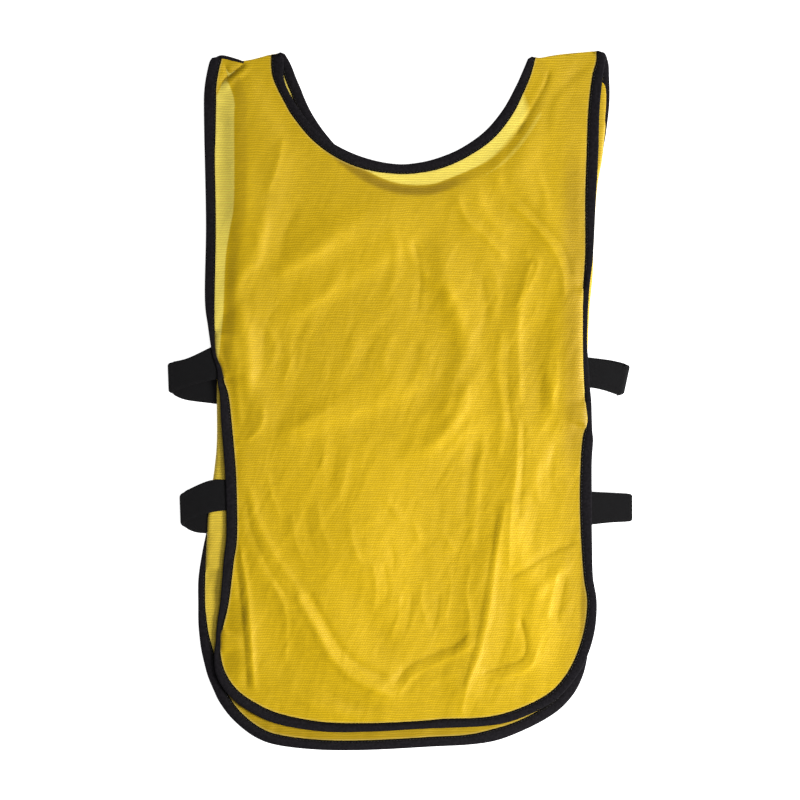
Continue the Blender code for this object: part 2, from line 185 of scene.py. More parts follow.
def nearest(points, path, values):
    """Distance from each point to a path, the path's values there, and the way to the point."""
    near_points = KDTree(len(path))
    for number, (x, y) in enumerate(path):
        near_points.insert((x, y, 0), number)
    near_points.balance()
    closest = np.array([near_points.find((x, y, 0))[1] for x, y in points])
    found = None
    for first in (closest - 1, closest):
        first = np.clip(first, 0, len(path) - 2)
        step = path[first + 1] - path[first]
        offset = points - path[first]
        part = np.clip((offset * step).sum(axis=1) / (step * step).sum(axis=1), 0, 1)[:, None]
        away = offset - part * step
        value = values[first] * (1 - part) + values[first + 1] * part
        distance = np.linalg.norm(away, axis=1)
        row = np.column_stack([distance, value, away])
        found = row if found is None else np.where((distance < found[:, 0])[:, None], row, found)
    return found[:, 0], found[:, 1:-2], found[:, -2:]


def inside(points, outline):
    """Whether each point lies within a closed outline."""
    x, y = points.T
    crossings = np.zeros(len(points), int)
    for (x1, y1), (x2, y2) in zip(outline, np.roll(outline, -1, axis=0)):
        if y1 != y2:
            between = (y1 > y) != (y2 > y)
            crossings += between & (x < (x2 - x1) * (y - y1) / (y2 - y1) + x1)
    return crossings % 2 == 1


def smooth_step(value, low, high):
    """0 up to low, 1 from high on, and an even curve between them."""
    part = np.clip((value - low) / (high - low), 0, 1)
    return part * part * (3 - 2 * part)


def bound_edge(rows, corner):
    """A bound edge: the seen cloth edge, and how far from it the tape begins and ends."""
    path = smooth_path(rows, STATION)
    covered = smooth_step(-path[:, 2], *UNDER_CLOTH)
    ends = np.minimum(np.arange(len(path)), np.arange(len(path))[::-1]) * STATION
    rounding = corner * (1 - np.sqrt(1 - (1 - np.minimum(ends / corner, 1)) ** 2))
    return {
        "points": path[:, :2],
        "normals": outward(path[:, :2]),
        "outer": path[:, 2] - rounding,
        "inner": (path[:, 2] - TAPE_WIDTH) * smooth_step(covered, 0.3, 1),
        "tucked": TUCKED_IN * (1 - smooth_step(covered, 0, 0.3)),
        "covered": smooth_step(covered, 0.3, 0.8),
    }


def cut_panel(left, hem, right, neck):
    """A panel's two bound edges, its seen outline, and the outline that it was cut to."""
    panel = {
        "side": bound_edge(left + hem + right[::-1], SIDE_CORNER),
        "neck": bound_edge(neck[::-1], NECK_CORNER),
    }
    for name, reach in (("seen", 0), ("cut", 1)):
        lines = [
            panel[edge]["points"] + panel[edge]["normals"] * reach * panel[edge]["tucked"][:, None]
            for edge in ("side", "neck")
        ]
        shoulders = [smooth_path(s, STATION)[::-1][1:-1] for s in (SHOULDER_RIGHT, SHOULDER_LEFT)]
        panel[name] = np.vstack([lines[0], shoulders[0], lines[1], shoulders[1]])
    return panel


def from_seen_edge(panel, points):
    """Distance in from the nearest bound edge, and whether the cloth covers the tape there."""
    edges = [panel["side"], panel["neck"]]
    found = [nearest(points, edge["points"], edge["covered"][:, None]) for edge in edges]
    distance = np.minimum(found[0][0], found[1][0])
    covered = np.where(found[0][0] < found[1][0], found[0][1][:, 0], found[1][1][:, 0])
    sign = np.where(inside(points, panel["seen"]), 1, -1)
    return distance * sign, covered


def solid_top(names, softening, cell=4.0):
    """A function giving the height of the top of these CAD solids in mm, rounded off."""
    graph = bpy.context.evaluated_depsgraph_get()
    trees = [BVHTree.FromObject(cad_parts[name], graph) for name in names]
    across = np.arange(-224, 224, cell)
    along = np.arange(-336, 336, cell)
    heights = np.full((len(across), len(along)), np.nan)
    down = Vector((0, 0, -1))
    for i, x in enumerate(across):
        for j, y in enumerate(along):
            hits = [tree.ray_cast(Vector((x * MM, y * MM, 1)), down)[0] for tree in trees]
            tops = [hit.z / MM for hit in hits if hit]
            if tops:
                heights[i, j] = max(tops)
    steps = [(i, j) for i in (-1, 0, 1) for j in (-1, 0, 1)]
    for _ in range(8):
        near = np.array([np.roll(heights, step, axis=(0, 1)) for step in steps])
        known = np.isfinite(near)
        total = np.where(known, near, 0).sum(axis=0)
        count = known.sum(axis=0)
        filled = np.divide(total, count, out=np.full_like(total, np.nan), where=count > 0)
        heights = np.where(np.isfinite(heights), heights, filled)
    heights = np.where(np.isfinite(heights), heights, 0)
    for _ in range(round(softening)):
        heights = np.mean([np.roll(heights, step, axis=(0, 1)) for step in steps], axis=0)

    def top(points):
        place = (points - (across[0], along[0])) / cell
        corner = np.clip(place.astype(int), 0, np.array(heights.shape) - 2)
        (i, j), (s, t) = corner.T, (place - corner).T
        near = heights[i, j] * (1 - s) + heights[i + 1, j] * s
        far = heights[i, j + 1] * (1 - s) + heights[i + 1, j + 1] * s
        return near * (1 - t) + far * t

    return top


TRIANGLE_SIDE = 2.5
EDGE_RINGS = (0.8, 1.8)
RING_GAP = 1.2
LINE_GAP = 1.2
CLOTH_WALL = 0.5


def cloth_sheet(name, panel, height, looks, material, lines):
    """A panel's cut shape in small triangles, lifted to its height, with its colouring values.

    lines are paths that the triangles follow, such as sharp creases.
    """
    outline = panel["cut"]
    travel = np.roll(outline, -1, axis=0) - np.roll(outline, 1, axis=0)
    travel /= np.linalg.norm(travel, axis=1, keepdims=True)
    inward = np.column_stack([-travel[:, 1], travel[:, 0]])
    rings = [outline + inward * step for step in EDGE_RINGS]
    low = outline.min(axis=0)
    high = outline.max(axis=0)
    rows = np.arange(low[1], high[1], TRIANGLE_SIDE * 0.866)
    grid = []
    for number, along in enumerate(rows):
        across = np.arange(low[0] + number % 2 * TRIANGLE_SIDE / 2, high[0], TRIANGLE_SIDE)
        grid.append(np.column_stack([across, np.full(len(across), along)]))
    grid = np.vstack(grid)
    grid = grid[inside(grid, rings[1])]
    closed = np.vstack([outline, outline[:1]])
    gap = nearest(grid, closed, np.zeros((len(closed), 1)))[0]
    grid = grid[gap > EDGE_RINGS[1] + RING_GAP]
    for line in lines:
        normals = outward(line)
        strip = np.vstack([line - normals * LINE_GAP, line, line + normals * LINE_GAP])
        gap = nearest(grid, line, np.zeros((len(line), 1)))[0]
        grid = grid[gap > 2 * LINE_GAP]
        inner = strip[inside(strip, rings[1])]
        others = KDTree(len(grid))
        for number, (x, y) in enumerate(grid):
            others.insert((x, y, 0), number)
        others.balance()
        clear = [others.find((x, y, 0))[2] > LINE_GAP / 2 for x, y in inner]
        grid = np.vstack([grid, inner[clear]])
    flat = np.vstack([outline, *rings, grid])
    cut = geometry.delaunay_2d_cdt(
        [tuple(point) for point in flat], [], [range(len(outline))], 1, 1e-4
    )
    places = np.array([tuple(point) for point in cut[0]])
    heights = height(places)
    data = bpy.data.meshes.new(name)
    points = np.column_stack([places, heights]) * MM
    data.from_pydata([tuple(point) for point in points], [], cut[2])
    for attribute, values in looks(places).items():
        stored = data.attributes.new(attribute, "FLOAT", "POINT")
        stored.data.foreach_set("value", values.astype(np.float32))
    data.materials.append(material)
    mesh = bmesh.new()
    mesh.from_mesh(data)
    bmesh.ops.recalc_face_normals(mesh, faces=mesh.faces[:])
    if mesh.faces[0].normal.z < 0:
        bmesh.ops.reverse_faces(mesh, faces=mesh.faces[:])
    mesh.to_mesh(data)
    mesh.free()
    data.shade_smooth()
    made = bpy.data.objects.new(name, data)
    bpy.context.collection.objects.link(made)
    wall = made.modifiers.new("cloth thickness", "SOLIDIFY")
    wall.thickness = CLOTH_WALL * MM
    wall.offset = 0
    return made


# The knit: ridges across the bib, and pores between them. White shows through one layer, and the
# black binding darkens the cloth that lies over it.
# The colour also holds painted light and shade: a painted highlight along each bound edge, painted
# light and shade on the creases, and painted shade on the back's strips and along the front's right
# edge.
RIDGE_PITCH = 2.25
PORE_PITCH = 1.5
RIPPLES = (
    # width, length, lean in degrees, height
    (17.0, 46.0, -24, 1.2),
    (8.0, 24.0, -14, 0.28),
)
mesh_cloth = bpy.data.materials.new("shiny yellow polyester mesh, fine net knit")
mesh_cloth.use_nodes = True
tree = mesh_cloth.node_tree
cloth_shader = tree.nodes["Principled BSDF"]
place = add_node(tree, "TexCoord").outputs["Object"]
in_mm = add_node(tree, "VectorMath", {0: place, "Scale": 1000.0}, operation="SCALE").outputs[0]
drift = add_node(tree, "TexNoise", {"Vector": in_mm, "Scale": 0.06, "Detail": 2.0})
moved = add_node(tree, "VectorMath", {0: drift.outputs["Color"], "Scale": 3.0}, operation="SCALE")
warped = add_node(tree, "VectorMath", {0: in_mm, 1: moved.outputs[0]}, operation="ADD")
parts = add_node(tree, "SeparateXYZ", {0: warped.outputs[0]}).outputs
ridge_turn = add_node(
    tree, "Math", {0: parts["Y"], 1: 2 * math.pi / RIDGE_PITCH}, operation="MULTIPLY"
).outputs[0]
ridge = add_node(tree, "Math", {0: ridge_turn}, operation="SINE").outputs[0]
pore_turn = add_node(
    tree, "Math", {0: parts["X"], 1: 2 * math.pi / PORE_PITCH}, operation="MULTIPLY"
).outputs[0]
pore_shift = add_node(tree, "Math", {0: ridge_turn, 1: 0.5, 2: pore_turn}, operation="MULTIPLY_ADD")
pore = add_node(tree, "Math", {0: pore_shift.outputs[0]}, operation="SINE").outputs[0]
long_streaks = add_node(tree, "Mapping", {"Vector": in_mm, "Scale": (0.09, 0.35, 0.2)})
streaks = add_node(
    tree, "TexNoise", {"Vector": long_streaks.outputs[0], "Scale": 1.0, "Detail": 3.0}
).outputs["Fac"]

single = linear("#FBE360")
double = linear("#D0AB07")
# Cloth over a binding, where the black tape shows through; the same colour is also painted shade on
# the back's strips and along the front's right edge.
dark_over_binding_and_shade = linear("#A08006")
# Painted highlight: a pale cream line along the cloth's edge beside each binding, where the edge
# catches the light.
painted_edge_highlight = linear("#DCC468")
over_back = add_node(tree, "Attribute", attribute_name="over_back").outputs["Fac"]
layers = add_node(tree, "MapRange", {"Value": over_back, "From Min": -0.7, "From Max": 0.7})
layered = add_node(
    tree, "Mix", {"Factor": layers.outputs[0], 6: single, 7: double}, data_type="RGBA"
).outputs[2]
# How far the colour goes to the dark one: binding showing through, and painted shade.
tape_show_and_shade = add_node(tree, "Attribute", attribute_name="tape_show_and_shade").outputs["Fac"]
tape_shown_and_shaded = add_node(
    tree, "Mix", {"Factor": tape_show_and_shade, 6: layered, 7: dark_over_binding_and_shade}, data_type="RGBA"
).outputs[2]
from_edge = add_node(tree, "Attribute", attribute_name="from_edge").outputs["Fac"]
# The painted edge highlight fades out over the first 1.8 mm in from the seen edge.
edge_highlight_share = add_node(
    tree, "MapRange",
    {"Value": from_edge, "From Min": 0.4, "From Max": 1.8, "To Min": 0.4, "To Max": 0.0},
)
edge_highlighted = add_node(
    tree, "Mix", {"Factor": edge_highlight_share.outputs[0], 6: tape_shown_and_shaded, 7: painted_edge_highlight}, data_type="RGBA"
).outputs[2]
streaked = add_node(
    tree, "MapRange",
    {"Value": streaks, "From Min": 0.3, "From Max": 0.7, "To Min": 0.95, "To Max": 1.05},
).outputs[0]
# Painted light and shade from the creases: the cloth is lighter on their ridges and darker in their
# troughs.
crease_shade = add_node(tree, "Attribute", attribute_name="crease").outputs["Fac"]
crease_shaded = add_node(tree, "Math", {0: crease_shade, 1: 0.08, 2: streaked}, operation="MULTIPLY_ADD").outputs[0]
broken = add_node(
    tree, "MapRange",
    {"Value": streaks, "From Min": 0.3, "From Max": 0.7, "To Min": 0.06, "To Max": 0.2},
).outputs[0]
ridged_and_crease_shaded = add_node(tree, "Math", {0: ridge, 1: broken, 2: crease_shaded}, operation="MULTIPLY_ADD").outputs[0]
netted_and_crease_shaded = add_node(tree, "Math", {0: pore, 1: 0.04, 2: ridged_and_crease_shaded}, operation="MULTIPLY_ADD").outputs[0]
knit = add_node(tree, "Math", {0: pore, 1: 0.4, 2: ridge}, operation="MULTIPLY_ADD").outputs[0]
# The cloth's colour, with its painted highlight and painted shade in it
dye_and_painted_light = add_node(tree, "VectorMath", {0: edge_highlighted, "Scale": netted_and_crease_shaded}, operation="SCALE").outputs[0]

rippled = add_node(tree, "Math", {0: knit, 1: 0.06}, operation="MULTIPLY").outputs[0]
up_the_bib = add_node(tree, "SeparateXYZ", {0: in_mm}).outputs["Y"]
settled = add_node(
    tree, "MapRange", {"Value": up_the_bib, "From Min": 210.0, "From Max": 60.0, "To Min": 0.45}
).outputs[0]
for width, length, lean, height in RIPPLES:
    turned = add_node(
        tree, "Mapping",
        {"Vector": in_mm, "Rotation": (0, 0, math.radians(lean)), "Scale": (width, length, 20.0)},
        vector_type="TEXTURE",
    ).outputs[0]
    ripple = add_node(
        tree, "TexNoise", {"Vector": turned, "Scale": 1.0, "Detail": 1.0, "Distortion": 0.4}
    ).outputs["Fac"]
    lifted = add_node(tree, "Math", {0: settled, 1: height}, operation="MULTIPLY").outputs[0]
    rippled = add_node(
        tree, "Math", {0: ripple, 1: lifted, 2: rippled}, operation="MULTIPLY_ADD"
    ).outputs[0]
raised = add_node(tree, "Bump", {"Height": rippled, "Strength": 1.0, "Distance": MM}).outputs[0]
tree.links.new(dye_and_painted_light, cloth_shader.inputs["Base Color"])
tree.links.new(raised, cloth_shader.inputs["Normal"])
cloth_shader.inputs["Roughness"].default_value = 0.47
cloth_shader.inputs["Specular IOR Level"].default_value = 0.7
cloth_shader.inputs["Specular Tint"].default_value = linear("#FFE9AA")
cloth_shader.inputs["Sheen Weight"].default_value = 0.06
cloth_shader.inputs["Sheen Roughness"].default_value = 0.4
cloth_shader.inputs["Sheen Tint"].default_value = linear("#FFF2B8")

# Distances in from the seen edge, over which the cloth leaves the height of its tape's slot, and
# over which it comes down from tape that it covers.
HELD_BY_TAPE = (0.5, 22)
OVER_COVERED_TAPE = (9, 16)
CLEAR_OF_TAPE = 0.4
SLOT_HEIGHT = 0.9
ROLLED_EDGE = 1.2
ROLL_RADIUS = 1.1

back = cut_panel(BACK_LEFT, BACK_HEM, BACK_RIGHT, BACK_NECK)
back_top = solid_top(["back_panel"], 1)


def on_solid(panel, top, level):
    """The middle of the cloth: on its solid's top, and in its tape's slot where it is bound."""
    def height(points):
        distance, covered = from_seen_edge(panel, points)
        bound = (1 - smooth_step(distance, *HELD_BY_TAPE)) * (1 - covered)
        inward = np.maximum(distance, 0)
        rolled = ROLLED_EDGE * covered * np.exp(-((inward / ROLL_RADIUS) ** 2))
        by_tape = 1 - smooth_step(distance, *OVER_COVERED_TAPE)
        over_its_tape = (TAPE_WALL + CLEAR_OF_TAPE) * covered * by_tape
        free = np.maximum(top(points) - CLOTH_WALL / 2, level(points) + over_its_tape) - rolled
        return free * (1 - bound) + (level(points) + SLOT_HEIGHT) * bound
    return height


def flat_on_surface(points):
    return np.zeros(len(points))


# Far inside or outside an edge, in mm
FAR = 30.0
# Across, where the front begins to stand off the back's neck, and by how much that fades it
STANDS_OFF = (35, 75)
NECK_FADES = 0.8
# By how much a binding fades that its own cloth covers
HIDDEN_FADES = 0.7
# Distances from the middle of a binding: its dark band's soft edge, and half its width
BAND_EDGE = (2.2, 6.5)
BAND_HALF = 5.2


def tape_under(panel, points):
    """How strongly a panel's binding darkens the cloth over it, from 0 to 1, and how far in it is.

    It shows less at the right shoulder, where the front stands off it, and through two layers.
    """
    share = np.zeros(len(points))
    within = np.full(len(points), -FAR)
    for edge, fades in ((panel["side"], 0), (panel["neck"], NECK_FADES)):
        middle = (edge["inner"] + edge["outer"]) / 2
        line = edge["points"] + edge["normals"] * middle[:, None]
        distance, covered, _ = nearest(points, line, edge["covered"][:, None])
        strength = 1.0 - HIDDEN_FADES * covered[:, 0]
        strength *= 1 - fades * smooth_step(points[:, 0], *STANDS_OFF)
        share = np.maximum(share, strength * (1 - smooth_step(distance, *BAND_EDGE)))
        deeper = np.maximum(within, BAND_HALF - distance)
        within = np.where(covered[:, 0] < 0.5, deeper, within)
    return share, within


# How dark the back's painted shade is: under the front, at the left shoulder and at the hem
UNDER_FRONT = 0.05
AT_SHOULDER = 0.1
AT_HEM = 0.6
HEM_STARTS = (240, 285)
# One layer is below 0, and two are above it. The strip beside the front's left edge is between.
BESIDE_FRONT = 0.2


def back_looks(points):
    """Colouring of the back, which shows past the front at its shoulders, left side and hem, and its
    painted shade.
    """
    distance, covered = from_seen_edge(back, points)
    across, along = points.T
    at_shoulder = (along > 255) & (across < -80)
    by_hem = AT_HEM * smooth_step(-along, *HEM_STARTS)
    # Painted shade: the back is much darker at its hem, and a little darker at the left shoulder and
    # under the front.
    painted_shade = np.where(at_shoulder, AT_SHOULDER, UNDER_FRONT + by_hem)
    beside_front = (across < -150) & (along > -270) & (along < 40)
    return {
        "over_back": np.where(at_shoulder, -FAR, np.where(beside_front, BESIDE_FRONT, FAR)),
        "tape_show_and_shade": np.maximum(tape_under(back, points)[0] * covered * ~beside_front, painted_shade),
        "from_edge": distance,
        "crease": np.zeros(len(points)),
    }


back_height = on_solid(back, back_top, flat_on_surface)
back_cloth = cloth_sheet("back_cloth", back, back_height, back_looks, mesh_cloth, [])
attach(back_cloth, "root")
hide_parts("back_panel")


# The front panel
# The same mesh, cut with a higher neck. It lies loosely over the back panel and its bindings, a
# little to the left, and keeps creases from folding that run down and across it.
FRONT_LEFT = (
    # across, along, tape
    (-165, 318, 9.5), (-167, 311, 10.3), (-169.1, 301, 10.6), (-170.6, 289.6, 11.0),
    (-170.7, 277, 11.6), (-171.5, 242, 10.4), (-172, 223, 9.4), (-171, 160, 9.3), (-172, 95, 9.3),
    (-172, 69, 6.4), (-171, 43, 3.3), (-166, 30, 4.2), (-163, 17, 6.4), (-159, 4, 8.2),
    (-156, -22, 9.8), (-152, -70, 10.2), (-151, -125, 10.2), (-154, -149, 9.7),
    (-158.7, -187, 8.2), (-163.5, -208, 6.5), (-166.5, -216, 4.3), (-167, -224, 4.0),
    (-166.5, -236, 6.2), (-162.5, -252, 8.8),
)
FRONT_HEM = (
    # across, along, tape
    (-152.5, -267.5, 9.2), (-137, -279.5, 9.6), (-111.8, -291.2, 9.8), (-71, -299, 8.9),
    (-26, -300, 7.9), (19, -298, 7.4), (41, -296, 8.6), (74, -295, 8.1), (97, -291, 8.8),
    (121, -282, 8.8), (140, -271, 8.8),
)
FRONT_RIGHT = (
    # across, along, tape
    (182.5, 324, 8.8), (182.2, 314, 8.5), (178.5, 300, 9.8), (174.8, 268, 10.4),
    (173.3, 228, 10.8), (172, 186, 9.8), (172, 135, 7.3), (170, 102, 5.6), (169.8, 60, 3.9),
    (170, 40, 4.5), (170.2, 26, 5.4), (171, 10, 5.6), (172.2, -3, 5.6), (173.9, -19.5, 4.4),
    (170.4, -32, 9.2), (169, -42, 10.2), (168, -58, 10.2), (167.2, -85, 11.0), (167.6, -112, 10.6),
    (169, -140, 9.6), (171, -166, 8.4), (174, -188, 8.8), (171, -214, 9.8), (163, -239, 9.8),
    (153, -257, 8.8),
)
FRONT_NECK = (
    # across, along, tape
    (-119.5, 321, 11.0), (-119.5, 309, 11.6), (-117.8, 299, 10.0), (-113.5, 288.5, 8.4),
    (-107.5, 277, 8.2), (-100, 264, 8.6), (-82, 242, 9.0), (-59, 225, 10.2), (-32, 214, 10.4),
    (-4, 210, 9.3), (19, 211, 9.8), (41, 216, 10.4), (63, 226, 10.2), (86, 242, 10.6),
    (104, 264, 10.2), (116, 288, 9.1), (122, 303, 8.4), (126, 318, 6.4),
)
# Each crease is a soft ridge, or a trough where its height is negative, in mm.
CREASES = (
    # half_width, height, route: first the broad swells and troughs
    (58.0, 5.5, ((-26, -28), (-35, -112), (-45, -186), (-33, -270))),
    (22.0, 0.8, ((170, 260), (170, 186), (166, 102), (167, 19), (169, -37))),
    (18.0, 1.87, ((-23, 182), (-66, 152), (-117, 116))),
    (16.0, 1.53, ((23, 163), (-26, 128), (-66, 104), (-121, 65))),
    (20.0, 2.04, ((-4, -50), (28, -38), (60, -23), (93, -5))),
    (16.0, 1.7, ((93, -93), (112, -149), (130, -195), (121, -260))),
    (14.0, 1.36, ((-112, -34), (-75, -20), (-24, -1), (28, 21))),
    (13.0, 1.44, ((-140, 232), (-143, 195), (-145, 149), (-156, 112))),
    (14.0, -1.27, ((65, 65), (51, 19), (19, -19))),
    (16.0, -1.53, ((-56, -149), (-28, -205), (0, -251))),
    (16.0, -1.36, ((130, 74), (126, 28), (130, -28))),
    # upper left
    (6.0, 0.94, ((-125, 179), (-130, 134), (-145, 119), (-156, 93))),
    (7.0, 1.08, ((-149, 93), (-141, 55), (-140, 10))),
    (3.0, 0.52, ((-108, 245), (-113, 219), (-123, 191))),
    (5.0, 0.58, ((-137, 166), (-132, 149), (-138, 128))),
    (5.0, 0.58, ((-117, 113), (-93, 128), (-62, 145))),
    (4.0, 0.46, ((-95, 73), (-102, 51), (-100, 19))),
    (4.0, 0.46, ((-128, 76), (-116, 51), (-121, 23))),
    (5.0, 0.52, ((-51, 128), (-65, 102), (-93, 82))),
    (3.5, -0.46, ((-110, 93), (-123, 73), (-128, 45))),
    (4.0, -0.46, ((-93, 181), (-106, 156), (-112, 128))),
    # upper right, and the right shoulder
    (3.5, 0.64, ((53, 190), (62, 167), (78, 153), (99, 130))),
    (6.0, 0.94, ((71, 199), (80, 173), (101, 153))),
    (3.0, 0.64, ((102, 182), (121, 166), (141, 141), (151, 119), (153, 93))),
    (3.0, -0.52, ((110, 188), (131, 166), (151, 141), (160, 112))),
    (4.0, 0.58, ((126, 214), (134, 195), (138, 173))),
    (5.0, 0.58, ((98, 232), (91, 209), (96, 186))),
    (3.5, 0.64, ((110, 138), (128, 128), (113, 88), (110, 55), (112, -5))),
    (3.0, 0.52, ((123, 132), (115, 104), (106, 82))),
    (8.0, 1.16, ((38, 119), (53, 81), (60, 47), (46, 10), (38, -20))),
    (5.0, 0.7, ((4, 152), (23, 116), (46, 100), (39, 81))),
    (3.0, -0.52, ((12, 149), (19, 116), (16, 81))),
    (5.0, 0.58, ((-7, 163), (-2, 128), (-11, 93))),
    (4.0, 0.52, ((84, 128), (91, 102), (86, 73))),
    (4.0, -0.52, ((74, 121), (80, 84), (73, 51))),
    (6.0, -0.72, ((177, 316), (141, 279), (135, 242))),
    (2.2, -0.8, ((139, 307), (136, 296), (130, 284), (121, 268), (107, 246))),
    (3.0, 0.41, ((135, 303), (130, 288), (122, 273), (111, 257))),
    # middle
    (2.6, 0.52, ((-153, -41), (-138, -35), (-128, -23), (-126, -5))),
    (4.0, -0.75, ((-166, 56), (-162, 26), (-157, 0), (-153, -28))),
    (4.0, 0.7, ((-153, 56), (-151, 19), (-149, -23))),
    (5.0, 0.64, ((-115, -34), (-86, -20), (-59, -3))),
    (3.5, 0.46, ((-100, 41), (-105, 26), (-109, 7))),
    (3.5, 0.46, ((-64, -31), (-69, -46), (-73, -66))),
    (3.5, 0.52, ((-48, -54), (-52, -74), (-58, -95))),
    (5.0, -0.58, ((-56, -37), (-61, -58), (-65, -84))),
    (4.0, 0.52, ((-16, -86), (-7, -100), (4, -114))),
    (3.5, 0.46, ((12, -111), (16, -123), (20, -135))),
    (3.5, 0.46, ((40, -122), (46, -133), (51, -142))),
    (3.5, -0.52, ((-8, -135), (-6, -149), (-7, -163))),
    (5.0, 0.7, ((28, -44), (44, -27), (60, -4), (61, 19))),
    (4.0, -0.58, ((35, -51), (48, -37), (65, -14))),
    (6.0, 0.94, ((136, 44), (140, -5), (126, -34))),
    (3.0, 0.52, ((145, 41), (145, 19), (140, -7))),
    (4.0, 0.64, ((95, 65), (91, 28), (96, -19), (91, -56))),
    (3.0, -0.46, ((102, 56), (100, 19), (104, -28))),
    (4.0, 0.58, ((80, -31), (74, -65), (70, -106), (66, -142))),
    (4.0, -0.52, ((73, -37), (65, -74), (60, -112))),
    (2.6, 0.52, ((110, -15), (108, -66), (103, -102), (101, -158))),
    (2.6, -0.46, ((115, -19), (114, -65), (110, -112))),
    (5.0, 0.52, ((-37, 65), (-45, 41), (-56, 19))),
    (4.0, 0.46, ((-5, 65), (-13, 45), (-15, 22))),
    (4.0, -0.46, ((-26, 56), (-32, 35), (-41, 15))),
    (5.0, -0.52, ((17, 56), (13, 32), (2, 11))),
    (4.0, 0.52, ((131, -51), (126, -73), (130, -98))),
    (4.0, -0.46, ((145, -37), (140, -65), (142, -93))),
    # lower left, and along the hem
    (3.0, 0.92, ((-151, -126), (-142, -174), (-138, -223), (-135, -270))),
    (3.0, -0.84, ((-156, -130), (-149, -177), (-144, -232), (-142, -270))),
    (4.0, 0.64, ((-140, -78), (-132, -112), (-116, -145), (-96, -174), (-92, -190))),
    (3.5, -0.58, ((-143, -89), (-138, -121), (-123, -154), (-104, -184))),
    (3.0, 0.52, ((-119, -168), (-106, -198), (-106, -246))),
    (3.5, 0.46, ((-100, -102), (-97, -130), (-87, -154))),
    (3.5, 0.41, ((-76, -93), (-73, -119), (-63, -141))),
    (4.0, -0.46, ((-88, -93), (-86, -121), (-76, -149))),
    (3.0, 0.41, ((-123, -65), (-119, -88), (-111, -110))),
    (4.0, 1.07, ((-97, -179), (-77, -214), (-64, -238), (-44, -258), (-21, -270), (-4, -275))),
    (4.0, -0.99, ((-87, -175), (-69, -208), (-55, -231), (-35, -248), (-11, -260))),
    (3.5, 0.84, ((-4, -277), (11, -257), (35, -244), (60, -232), (71, -221))),
    (3.5, -0.84, ((-6, -266), (7, -248), (32, -235), (53, -226), (65, -214))),
    (7.0, -0.87, ((-73, -270), (-45, -283), (-17, -286))),
    (5.0, 0.52, ((-93, -279), (-65, -290), (-37, -294))),
    # lower middle and lower right
    (3.0, 0.64, ((99, -93), (91, -135), (84, -187), (75, -232), (64, -261), (56, -295))),
    (3.0, -0.52, ((91, -102), (84, -144), (76, -191), (68, -232), (56, -270))),
    (2.6, 0.46, ((67, -149), (62, -177), (65, -205), (60, -231))),
    (2.6, 0.41, ((48, -158), (46, -182), (41, -205))),
    (3.0, 0.41, ((23, -163), (20, -186), (25, -209))),
    (3.0, 0.41, ((0, -177), (-2, -200), (-9, -223))),
    (3.0, -0.41, ((11, -177), (9, -200), (4, -219))),
    (3.0, 0.41, ((-26, -149), (-22, -177), (-26, -200))),
    (3.0, -0.41, ((-15, -149), (-12, -177), (-16, -195))),
    (3.5, 0.46, ((-46, -112), (-43, -135), (-35, -154))),
    (3.0, -0.41, ((37, -177), (34, -199), (30, -216))),
    (3.5, -0.84, ((100, -167), (121, -154), (142, -141), (166, -131))),
    (6.0, 1.08, ((125, -186), (140, -167), (160, -151))),
    (3.0, 0.58, ((147, -158), (141, -182), (136, -206))),
    (3.0, -0.52, ((154, -163), (150, -186), (145, -209))),
    (2.6, -0.84, ((75, -254), (93, -248), (112, -241), (117, -228), (112, -202))),
    (3.5, 0.77, ((80, -262), (100, -257), (121, -247), (128, -229))),
    (4.0, 0.52, ((112, -177), (108, -205), (104, -228))),
    (3.5, 0.46, ((19, -270), (37, -259), (58, -253))),
    # left shoulder
    (1.8, -1.2, ((-164, 313), (-161, 306), (-159, 301))),
    (1.8, -1.4, ((-143, 313), (-159, 301), (-166, 294), (-169, 284))),
    (3.0, 0.8, ((-139, 309), (-155, 297), (-162, 288))),
)
STEEP_SIDE = Vector((0.7, -0.7))
LEAN = 0.35
END_START = 0.1
END_RISE = 0.2
FLAT_BY_EDGE = (0, 7)
SHARP_BELOW = 4
# The crease height in mm beyond which the painted crease light and shade grow no stronger
CREASE_SHADE_LIMIT = 1.2

front = cut_panel(FRONT_LEFT, FRONT_HEM, FRONT_RIGHT, FRONT_NECK)
front_top = solid_top(["front_panel"], 2)
front_tape_top = solid_top(["edge_binding_front", "neck_binding_front"], 1, 3.0)


def on_back_panel(points):
    return front_tape_top(points) - TAPE_WALL


front_on_solid = on_solid(front, front_top, on_back_panel)


def crease_height(points):
    """Height of all the creases: each is steeper on its lower right side than on the other."""
    total = np.zeros(len(points))
    for half_width, height, route in CREASES:
        path = smooth_path(route, half_width / 2)
        steps = np.arange(len(path))
        ends = np.minimum(1, np.minimum(steps, steps[::-1]) * END_RISE + END_START)
        distance, strength, away = nearest(points, path, ends[:, None])
        side = away @ np.array(STEEP_SIDE) / np.maximum(distance, 0.01)
        reach = half_width * (1 - LEAN * side)
        total += height * strength[:, 0] * np.exp(-((distance / reach) ** 2))
    return total


def front_height(points):
    distance, _ = from_seen_edge(front, points)
    creased = crease_height(points) * smooth_step(distance, *FLAT_BY_EDGE)
    return front_on_solid(points) + creased


# Where the left shoulder's corner is turned over, so that the cloth is double
TURNED_CORNER = ((-176, 283), (-169.3, 283.7), (-165.5, 293.9), (-159, 300.4), (-143.2, 313.4),
                 (-143, 326), (-176, 326))
# Where the front is loose at the right shoulder, and how far along it shows double again
LOOSE_ACROSS = (55, 105)
LOOSE_ALONG = (190, 215)
LOOSE_TO = 150
LOOSE_FADES = 0.75
DOUBLE_AGAIN = (262, 300)
DOUBLE_DEPTH = 5
# Where the right edge lies over the back's turned-under binding, and how dark that makes it. Below
# that stretch the edge is darkened too, by a weaker painted shade.
RIGHT_EDGE = (143, 160)
TURNED_FROM = (-70, -30)
TURNED_TO = (190, 250)
BELOW_SHARE = 0.35
ABOVE_FADES = 0.7
TURNED_SHADE = 0.68


